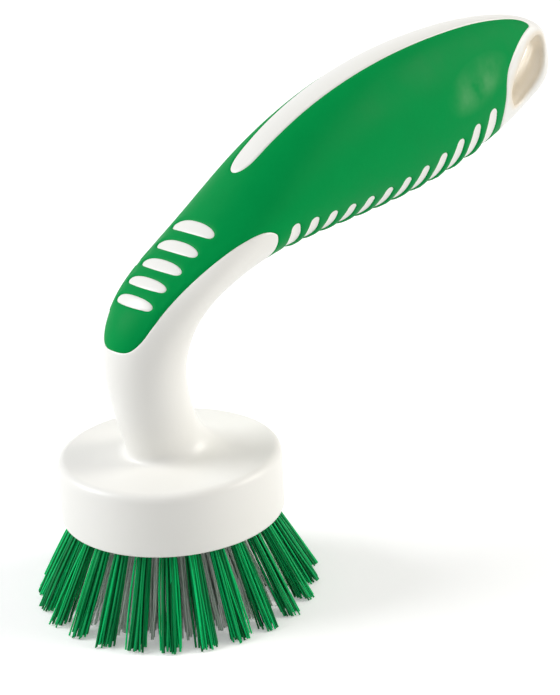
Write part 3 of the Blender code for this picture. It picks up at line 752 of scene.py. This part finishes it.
def new_object(name, data):
    """An object in the scene."""
    item = bpy.data.objects.new(name, data)
    bpy.context.scene.collection.objects.link(item)
    return item


def add_piece(name, mesh, slot, *nodes):
    """Put a piece in the scene in place of its CAD nodes."""
    piece = new_object(name, mesh)
    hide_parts(*nodes)
    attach(piece, "root")


def from_node(tree, kind, settings=None, output=0, **inputs):
    """Add a node with its settings, and its inputs by name or number; give back one output."""
    node = tree.nodes.new(kind)
    for key, value in (settings or {}).items():
        setattr(node, key, value)
    for key, value in inputs.items():
        socket = node.inputs[int(key[1:])] if key[0] == "_" else node.inputs[key.replace("_", " ")]
        if isinstance(value, bpy.types.NodeSocket):
            tree.links.new(value, socket)
        else:
            socket.default_value = value
    return node.outputs[output]


def new_material(name):
    """A material with its tree and its shader."""
    material = bpy.data.materials.new(name)
    material.use_nodes = True
    return material, material.node_tree, material.node_tree.nodes["Principled BSDF"]


def range_of(tree, value, low, high, start=0.3, end=0.7):
    """Spread a noise value between two numbers."""
    return from_node(tree, "ShaderNodeMapRange", Value=value, From_Min=start, From_Max=end,
                     To_Min=low, To_Max=high)


def noise_in(tree, place, scale, detail, roughness=0.5):
    """A noise value at a place, from the scale, detail and roughness of its pattern."""
    return from_node(tree, "ShaderNodeTexNoise", output="Fac", Vector=place, Scale=scale,
                     Detail=detail, Roughness=roughness)


def colour_mix(tree, share, first, second):
    """A colour between two others."""
    return from_node(tree, "ShaderNodeMix", {"data_type": "RGBA"}, 2, _0=share, _6=first, _7=second)


def stored_value(tree, name):
    """A value kept at the mesh's points."""
    return from_node(tree, "ShaderNodeAttribute", {"attribute_name": name}, "Fac")


def set_surface(tree, shader, tint, roughness):
    """Give a shader its colour and roughness."""
    tree.links.new(tint, shader.inputs["Base Color"])
    tree.links.new(roughness, shader.inputs["Roughness"])


def add_grain(tree, shader, height, strength, distance):
    """Give a shader a fine relief, whose distance is in metres."""
    bump = from_node(tree, "ShaderNodeBump", Strength=strength, Distance=distance, Height=height)
    tree.links.new(bump, shader.inputs["Normal"])


def moulded_white():
    """Glossy white polypropylene with the faint unevenness of a moulding, and a painted warm shade on the
    hanging hole's wall.
    """
    material, tree, shader = new_material("moulded_white")
    place = from_node(tree, "ShaderNodeTexCoord", output="Object")
    cloud = noise_in(tree, place, *WHITE_CLOUD)
    tint = colour_mix(tree, cloud, *WHITE_TINTS)
    # Painted shade: the colour turns darker and warmer inside the hanging hole.
    tint = colour_mix(tree, stored_value(tree, "painted_hole_shade"), tint, HOLE_PAINTED_SHADE)
    set_surface(tree, shader, tint, range_of(tree, cloud, *WHITE_ROUGHNESS))
    add_grain(tree, shader, noise_in(tree, place, *WHITE_GRAIN), *WHITE_RELIEF)
    shader.inputs["Specular IOR Level"].default_value = WHITE_SPECULAR
    return material


def mark_painted_hole_shade(mesh):
    """Store how deep each point lies in the hanging hole, for the painted shade that darkens and warms its
    wall.
    """
    points = np.array([tuple(vertex.co) for vertex in mesh.vertices])
    waist = hole_points - hole_outwards * (hole_waists / 2)[:, None]
    gaps = np.linalg.norm(points[:, None, [0, 2]] - waist[None], axis=2).min(axis=1)
    mark = mesh.attributes.new("painted_hole_shade", "FLOAT", "POINT")
    mark.data.foreach_set("value", np.clip(2.0 - 2.0 * gaps / HOLE_FADE, 0.0, 1.0).astype(np.float32))


handle = handle_mesh()
mark_painted_hole_shade(handle)
handle.materials.append(moulded_white())
add_piece("moulded_handle", handle, "white_plastic", "handle_core")


# The soft grip, a green thermoplastic rubber skin moulded into the core's pocket. It bulges
# into a row of ribs between the windows underneath, and swells a little round the thumb slots.
GRIP_SKIN = 1.6 * MM
SLOT_LIP = 0.2 * MM
# Painted reflection: a paler mottled patch near the grip's end stands in for a broad light's reflection on
# the rubber.
PAINTED_SHEEN_PLACE = (0.1135, -0.0135, 0.121)
PAINTED_SHEEN_REACHES = (17.0 * MM, 15.0 * MM, 8.0 * MM)
PAINTED_SHEEN_TILT = math.radians(-16.0)
PAINTED_SHEEN_TINT = (0.16, 0.44, 0.19, 1.0)
PAINTED_SHEEN_STRENGTH = 0.8
PAINTED_SHEEN_FADE = (0.2, 1.0)
PAINTED_SHEEN_CLOUD = (110.0, 3.0)
PAINTED_SHEEN_CLOUD_RANGE = (0.3, 0.8)
RIB_START = 1.5 * MM
RIB_GROWTH = 10.0 * MM
LIP_ZONE = (0.13, 0.345)
LIP_REACH_SHARE = 1.5
LIP_GAP = 1.1 * MM
LIP_SPREAD = 0.8 * MM
LIP_START_SHARE = 0.3
LIP_GROWTH_SHARE = 0.6
GRIP_SHARP_ANGLE = 50.0
GREEN_TINTS = ((0.0, 0.26, 0.056, 1.0), (0.0, 0.3, 0.066, 1.0))
GREEN_CLOUD = (70.0, 4.0, 0.55)
GREEN_GRAIN = (650.0, 2.0)
GREEN_RELIEF = (0.12, 0.3 * MM)
GREEN_ROUGHNESS = (0.36, 0.56)
GREEN_SPECULAR = 0.03


def grip_lifts():
    """How far the grip's skin stands off the handle's surface."""
    lifts = round_over(NET_GAPS, SEAM_DROP, SEAM_ROUND)
    along, around = NET[:, 0], NET[:, 1]
    windows = rib_windows()
    for left, right in zip(windows, windows[1:]):
        left_edge = window_centre(left, around) + window_half(left, around)
        right_edge = window_centre(right, around) - window_half(right, around)
        across = (along - (left_edge + right_edge) / 2) / ((right_edge - left_edge) / 2)
        top = (left[1] + right[1]) / 2
        growth = eased((around - top + RIB_START) / RIB_GROWTH)
        lifts += RIB_BULGE * growth * np.clip(1 - across ** 2, 0.0, 1.0)
    start, end = LIP_ZONE
    near_slots = (along < end * HANDLE_LENGTH) & (along > start * HANDLE_LENGTH)
    near_slots &= around < THUMB_SLOT_REACH * LIP_REACH_SHARE
    lip = SLOT_LIP * np.exp(-((NET_GAPS - LIP_GAP) / LIP_SPREAD) ** 2)
    lip *= np.clip(around / THUMB_SLOT_REACH - LIP_START_SHARE, 0.0, LIP_GROWTH_SHARE) / LIP_GROWTH_SHARE
    lifts[near_slots] += lip[near_slots]
    return lifts


def grip_mesh():
    """The grip as one closed skin."""
    outer = NET_POINTS + NET_NORMALS * grip_lifts()[:, None] + SHIFTS * SEAM_GAP
    inner = NET_POINTS - NET_NORMALS * GRIP_SKIN + SHIFTS * SEAM_GAP
    size = len(NET)
    faces = [tuple(face) for face in TRIANGLES[IN_GRIP]]
    faces += [tuple(face[::-1] + size) for face in TRIANGLES[IN_GRIP]]
    faces += [(a, b, b + size, a + size) for a, b in WALLS]
    mesh, body = whole_mesh("soft_grip", np.vstack((outer, inner)), faces)
    return finished(mesh, body, GRIP_SHARP_ANGLE)


def soft_green():
    """Satin green rubber, softly mottled, with a painted reflection on one side: a paler, mottled patch."""
    material, tree, shader = new_material("soft_green")
    place = from_node(tree, "ShaderNodeTexCoord", output="Object")
    cloud = noise_in(tree, place, *GREEN_CLOUD)
    patch = from_node(tree, "ShaderNodeMapping", {"vector_type": "TEXTURE"}, Vector=place,
                      Location=PAINTED_SHEEN_PLACE, Rotation=(0.0, PAINTED_SHEEN_TILT, 0.0), Scale=PAINTED_SHEEN_REACHES)
    gap = from_node(tree, "ShaderNodeVectorMath", {"operation": "LENGTH"}, "Value", _0=patch)
    near = range_of(tree, gap, PAINTED_SHEEN_STRENGTH, 0.0, *PAINTED_SHEEN_FADE)
    # The paler patch is a painted reflection, broken up by a noise.
    sheen = range_of(tree, noise_in(tree, place, *PAINTED_SHEEN_CLOUD), 0.0, 1.0, *PAINTED_SHEEN_CLOUD_RANGE)
    sheen = from_node(tree, "ShaderNodeMath", {"operation": "MULTIPLY"}, _0=near, _1=sheen)
    tint = colour_mix(tree, sheen, colour_mix(tree, cloud, *GREEN_TINTS), PAINTED_SHEEN_TINT)
    set_surface(tree, shader, tint, range_of(tree, cloud, *GREEN_ROUGHNESS))
    add_grain(tree, shader, noise_in(tree, place, *GREEN_GRAIN), *GREEN_RELIEF)
    shader.inputs["Specular IOR Level"].default_value = GREEN_SPECULAR
    return material


grip = grip_mesh()
grip.materials.append(soft_green())
add_piece("soft_grip", grip, "green_rubber", "rubber_grip")


# The bristles, 55 tufts of fine drawn filament folded into the block's holes: an outer ring of
# green, and two rings and a centre tuft of natural white. Each tuft fans out to its cut ends.
GREEN_FILAMENTS = 40
GREEN_FILAMENT_RADIUS = 0.275 * MM
WHITE_FILAMENTS = 34
WHITE_FILAMENT_RADIUS = 0.34 * MM
FILAMENT_STEPS = 5
TUFT_ROOT_SPREAD = 1.75 * MM
GREEN_TIP_SPREAD = 2.7 * MM
WHITE_TIP_SPREAD = 5.0 * MM
ROOT_DEPTH = 3.0 * MM
TIP_LIFT = 0.16 * MM
GOLDEN_ANGLE = 2.39996
ANGLE_JITTER = 0.35
TIP_WANDER = 0.45 * MM
STRAY_WANDER = 1.5 * MM
KEPT_STRAIGHT = 0.955
LARGEST_SHORTFALL = 1.0 * MM
SHORTFALL_POWER = 1.6
FILAMENT_BOW = 0.5 * MM
RING_SEEDS = (11, 21, 31, 41)
GREEN_FILAMENT_TINTS = ((0.0, 0.1, 0.027, 1.0), (0.0, 0.6, 0.17, 1.0))
# The white filaments carry a faint green tint: painted green light, as cast onto them by the green tufts
# around them.
WHITE_FILAMENT_TINTS = ((0.9, 0.96, 0.9, 1.0), (0.95, 0.99, 0.95, 1.0))
GREEN_FILAMENT_ROUGHNESS = (0.32, 0.46)
WHITE_FILAMENT_ROUGHNESS = (0.34, 0.48)
FILAMENT_GRAIN = (1200.0, 1.0)
FILAMENT_SPECULAR = 0.15


def tuft_ring_tree():
    """A tree that adds one ring of tufts to what comes in."""
    tree = bpy.data.node_groups.new("tuft_ring", "GeometryNodeTree")
    kinds = {"Geometry": ("Geometry",), "Int": ("Tufts", "Filaments", "Seed"),
             "Float": ("Ring Radius", "Lean", "First Turn", "Root Spread", "Tip Spread", "Length",
                       "Root Depth", "Filament Radius"),
             "Material": ("Material",)}
    for kind, names in kinds.items():
        for name in names:
            tree.interface.new_socket(name, in_out="INPUT", socket_type=f"NodeSocket{kind}")
    tree.interface.new_socket("Geometry", in_out="OUTPUT", socket_type="NodeSocketGeometry")
    given = tree.nodes.new("NodeGroupInput").outputs
    index = tree.nodes.new("GeometryNodeInputIndex").outputs[0]

    def add(kind, settings=None, output=0, **inputs):
        return from_node(tree, kind, settings, output, **inputs)

    def math_of(operation, first, second=0.0, third=0.0):
        return add("ShaderNodeMath", {"operation": operation}, _0=first, _1=second, _2=third)

    def vector_of(x, y, z):
        return add("ShaderNodeCombineXYZ", X=x, Y=y, Z=z)

    def random_of(low, high, offset):
        seed = math_of("ADD", given["Seed"], float(offset))
        return add("FunctionNodeRandomValue", {"data_type": "FLOAT"}, 1, _2=low, _3=high, ID=index,
                   Seed=seed)

    def turned(vector):
        return add("ShaderNodeVectorRotate", {"rotation_type": "Z_AXIS"}, Vector=vector, Angle=turn)

    def named(name):
        return add("GeometryNodeInputNamedAttribute", {"data_type": "FLOAT_VECTOR"}, Name=name)

    total = math_of("MULTIPLY", given["Tufts"], given["Filaments"])
    points = add("GeometryNodePoints", Count=total)
    number = math_of("FLOORED_MODULO", index, given["Filaments"])
    tuft = math_of("FLOOR", math_of("DIVIDE", math_of("ADD", index, 0.5), given["Filaments"]))
    step = math_of("DIVIDE", 2 * math.pi, given["Tufts"])
    turn = math_of("MULTIPLY_ADD", tuft, step, given["First Turn"])
    share = math_of("SQRT", math_of("DIVIDE", math_of("ADD", number, 0.5), given["Filaments"]))
    angle = math_of("MULTIPLY", number, GOLDEN_ANGLE)
    angle = math_of("ADD", angle, random_of(-ANGLE_JITTER, ANGLE_JITTER, 1))
    cosine = math_of("MULTIPLY", math_of("COSINE", angle), share)
    sine = math_of("MULTIPLY", math_of("SINE", angle), share)
    stray = math_of("GREATER_THAN", random_of(0.0, 1.0, 2), KEPT_STRAIGHT)
    wander = math_of("MULTIPLY_ADD", stray, STRAY_WANDER, TIP_WANDER)
    tip_x, tip_y = (math_of("MULTIPLY_ADD", random_of(-1.0, 1.0, offset), wander,
                            math_of("MULTIPLY", part, given["Tip Spread"]))
                    for offset, part in ((3, cosine), (4, sine)))
    run = math_of("MULTIPLY", given["Length"], given["Lean"])
    tip_out = math_of("ADD", math_of("ADD", given["Ring Radius"], run), tip_x)
    short = math_of("POWER", random_of(0.0, 1.0, 5), SHORTFALL_POWER)
    short = math_of("MULTIPLY", short, LARGEST_SHORTFALL)
    tip = vector_of(tip_out, tip_y, math_of("ADD", short, TIP_LIFT))
    back = math_of("MULTIPLY", given["Root Depth"], given["Lean"])
    root_x, root_y = (math_of("MULTIPLY", part, given["Root Spread"]) for part in (cosine, sine))
    root_out = math_of("ADD", math_of("SUBTRACT", given["Ring Radius"], back), root_x)
    root = vector_of(root_out, root_y, math_of("ADD", given["Length"], given["Root Depth"]))
    bow = vector_of(*(random_of(-FILAMENT_BOW, FILAMENT_BOW, offset) for offset in (6, 7)), 0.0)
    shade = random_of(0.0, 1.0, 8)
    values = {"filament_root": turned(root), "filament_tip": turned(tip), "filament_bow": bow}
    for name, value in values.items():
        points = add("GeometryNodeStoreNamedAttribute", {"data_type": "FLOAT_VECTOR", "domain": "POINT"},
                     Geometry=points, Name=name, Value=value)
    points = add("GeometryNodeStoreNamedAttribute", {"data_type": "FLOAT", "domain": "POINT"},
                 Geometry=points, Name="filament_shade", Value=shade)
    strand = add("GeometryNodeCurvePrimitiveLine", End=(0.0, 0.0, 1.0))
    strand = add("GeometryNodeResampleCurve", Curve=strand, Count=FILAMENT_STEPS)
    strands = add("GeometryNodeInstanceOnPoints", Points=points, Instance=strand)
    strands = add("GeometryNodeRealizeInstances", Geometry=strands)
    factor = add("GeometryNodeSplineParameter", output="Factor")
    path = add("ShaderNodeMix", {"data_type": "VECTOR"}, 1, _0=factor, _4=named("filament_root"),
               _5=named("filament_tip"))
    swell = math_of("SINE", math_of("MULTIPLY", factor, math.pi))
    bowed = add("ShaderNodeVectorMath", {"operation": "SCALE"}, _0=named("filament_bow"), Scale=swell)
    path = add("ShaderNodeVectorMath", {"operation": "ADD"}, _0=path, _1=bowed)
    strands = add("GeometryNodeSetPosition", Geometry=strands, Position=path)
    section = add("GeometryNodeCurvePrimitiveCircle", Resolution=4, Radius=given["Filament Radius"])
    mesh = add("GeometryNodeCurveToMesh", Curve=strands, Profile_Curve=section, Fill_Caps=True)
    for name in values:
        mesh = add("GeometryNodeRemoveAttribute", Geometry=mesh, Name=name)
    mesh = add("GeometryNodeSetShadeSmooth", Geometry=mesh)
    mesh = add("GeometryNodeSetMaterial", Geometry=mesh, Material=given["Material"])
    joined = tree.nodes.new("GeometryNodeJoinGeometry")
    tree.links.new(mesh, joined.inputs[0])
    tree.links.new(given["Geometry"], joined.inputs[0])
    whole = add("GeometryNodeRealizeInstances", Geometry=joined.outputs[0])
    result = tree.nodes.new("NodeGroupOutput")
    tree.links.new(whole, result.inputs[0])
    return tree


def bristle_mesh(name, tree, material, filaments, thickness, tip_spread, rings):
    """Grow whole rings of tufts and keep them as one plain mesh."""
    grower = new_object(name, bpy.data.meshes.new(name))
    identifiers = {item.name: item.identifier for item in tree.interface.items_tree
                   if item.in_out == "INPUT"}
    for seed, (count, radius, lean, first) in rings:
        modifier = grower.modifiers.new(f"ring_{seed}", "NODES")
        modifier.node_group = tree
        values = {"Tufts": count, "Filaments": filaments, "Seed": seed, "Ring Radius": radius,
                  "Lean": lean, "First Turn": first, "Root Spread": TUFT_ROOT_SPREAD,
                  "Tip Spread": tip_spread, "Length": BRISTLE_LENGTH, "Root Depth": ROOT_DEPTH,
                  "Filament Radius": thickness, "Material": material}
        for key, value in values.items():
            modifier[identifiers[key]] = value
    evaluated = grower.evaluated_get(bpy.context.evaluated_depsgraph_get())
    mesh = bpy.data.meshes.new_from_object(evaluated)
    bpy.data.objects.remove(grower, do_unlink=True)
    mesh.name = name
    return mesh


def filament_material(name, tints, roughness):
    """Drawn filament whose shade varies a little from strand to strand."""
    material, tree, shader = new_material(name)
    tint = colour_mix(tree, stored_value(tree, "filament_shade"), *tints)
    place = from_node(tree, "ShaderNodeTexCoord", output="Object")
    grain = noise_in(tree, place, *FILAMENT_GRAIN)
    set_surface(tree, shader, tint, range_of(tree, grain, *roughness))
    shader.inputs["Specular IOR Level"].default_value = FILAMENT_SPECULAR
    return material


ring_tree = tuft_ring_tree()
seeded_rings = list(zip(RING_SEEDS, TUFT_RINGS))
green_filament = filament_material("green_filament", GREEN_FILAMENT_TINTS, GREEN_FILAMENT_ROUGHNESS)
white_filament = filament_material("white_filament", WHITE_FILAMENT_TINTS, WHITE_FILAMENT_ROUGHNESS)
tuft_nodes = sorted(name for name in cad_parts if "tuft" in name)
green_nodes = [name for name in tuft_nodes if name.startswith("green")]
white_nodes = [name for name in tuft_nodes if name.startswith("white")]
green_mesh = bristle_mesh("green_bristles", ring_tree, green_filament, GREEN_FILAMENTS,
                          GREEN_FILAMENT_RADIUS, GREEN_TIP_SPREAD, seeded_rings[:1])
white_mesh = bristle_mesh("white_bristles", ring_tree, white_filament, WHITE_FILAMENTS,
                          WHITE_FILAMENT_RADIUS, WHITE_TIP_SPREAD, seeded_rings[1:])
add_piece("green_bristles", green_mesh, "green_filament", *green_nodes)
add_piece("white_bristles", white_mesh, "white_filament", *white_nodes)


# The white table and backdrop of a plain product photograph. The floor keeps the shadow and
# is lifted to white for the camera, and the world is white wherever it is seen.
FLOOR_REACH = 4.0
FLOOR_TINT = (0.86, 0.86, 0.86, 1.0)
FLOOR_ROUGHNESS = 0.9
FLOOR_SPECULAR = 0.1
WHITE = (1.0, 1.0, 1.0, 1.0)
FLOOR_LIFT = 0.3
WORLD_STRENGTH = 0.36


def seen_by(tree, first, *others):
    """One where any of these rays meets the surface."""
    path = tree.nodes.new("ShaderNodeLightPath").outputs
    seen = path[first]
    for ray in others:
        seen = from_node(tree, "ShaderNodeMath", {"operation": "MAXIMUM"}, _0=seen, _1=path[ray])
    return seen


def white_floor():
    """A wide pale floor."""
    mesh = bpy.data.meshes.new("floor")
    corners = [(x * FLOOR_REACH, y * FLOOR_REACH, 0.0) for x, y in ((-1, -1), (1, -1), (1, 1), (-1, 1))]
    mesh.from_pydata(corners, [], [(0, 1, 2, 3)])
    material, tree, shader = new_material("floor_white")
    shader.inputs["Base Color"].default_value = FLOOR_TINT
    shader.inputs["Roughness"].default_value = FLOOR_ROUGHNESS
    shader.inputs["Specular IOR Level"].default_value = FLOOR_SPECULAR
    shader.inputs["Emission Color"].default_value = WHITE
    seen = seen_by(tree, "Is Camera Ray", "Is Glossy Ray")
    lift = from_node(tree, "ShaderNodeMath", {"operation": "MULTIPLY"}, _0=seen, _1=FLOOR_LIFT)
    tree.links.new(lift, shader.inputs["Emission Strength"])
    mesh.materials.append(material)
    floor = new_object("floor", mesh)


def white_world():
    """An even soft surround, white where the camera sees it."""
    world = bpy.data.worlds.new("surround")
    world.use_nodes = True
    tree = world.node_tree
    background = tree.nodes["Background"]
    background.inputs["Color"].default_value = WHITE
    seen = seen_by(tree, "Is Camera Ray", "Is Glossy Ray", "Is Transmission Ray")
    strength = from_node(tree, "ShaderNodeMapRange", Value=seen, To_Min=WORLD_STRENGTH, To_Max=1.0)
    tree.links.new(strength, background.inputs["Strength"])
    bpy.context.scene.world = world


white_floor()
white_world()


# The studio light: two broad soft lights, low on either side of the camera's view, the right
# one a little warmer, and a weak one beside the camera that reaches in between the bristles.
VIEW_TURN = math.radians(-41.2)
LIGHT_SPREAD = math.radians(34.0)


def side_light(name, turn, height, strength, colour):
    """A far broad light, turned from the right of the view and raised above the floor."""
    light = bpy.data.lights.new(name, "SUN")
    light.energy = strength
    light.angle = LIGHT_SPREAD
    light.color = colour
    lamp = new_object(name, light)
    turn, height = VIEW_TURN + math.radians(turn), math.radians(height)
    source = Vector((math.cos(turn) * math.cos(height), math.sin(turn) * math.cos(height), math.sin(height)))
    lamp.rotation_euler = (-source).to_track_quat("-Z", "Y").to_euler()


side_light("left_light", 176.0, 35.0, 2.25, (0.98, 0.99, 1.0))
side_light("right_light", 4.0, 27.0, 1.84, (1.0, 0.965, 0.905))
side_light("front_light", -90.0, 10.0, 0.15, (1.0, 1.0, 1.0))


# The camera stands where the photograph was taken from, 20 degrees above the floor.
CAMERA_PLACE = Vector((-0.2354, -0.3152, 0.2102))
CAMERA_FORWARD = Vector((0.6195, 0.7064, -0.3423)).normalized()
CAMERA_ROLL = math.radians(2.89)
FOCAL_PIXELS = 1600.0
PHOTO_SIZE = (560, 695)

level_right = CAMERA_FORWARD.cross(Vector((0.0, 0.0, 1.0))).normalized()
level_up = level_right.cross(CAMERA_FORWARD)
right = level_right * math.cos(CAMERA_ROLL) - level_up * math.sin(CAMERA_ROLL)
up = level_right * math.sin(CAMERA_ROLL) + level_up * math.cos(CAMERA_ROLL)
camera_data = bpy.data.cameras.new("photo_camera")
camera_data.sensor_fit = "AUTO"
camera_data.sensor_width = 36.0
camera_data.lens = FOCAL_PIXELS / max(PHOTO_SIZE) * camera_data.sensor_width
camera_data.clip_start = 0.01
camera = new_object("photo_camera", camera_data)
axes = Matrix((right, up, -CAMERA_FORWARD)).transposed().to_4x4()
camera.matrix_world = Matrix.Translation(CAMERA_PLACE) @ axes
bpy.context.scene.camera = camera
bpy.context.scene.view_settings.view_transform = "Standard"
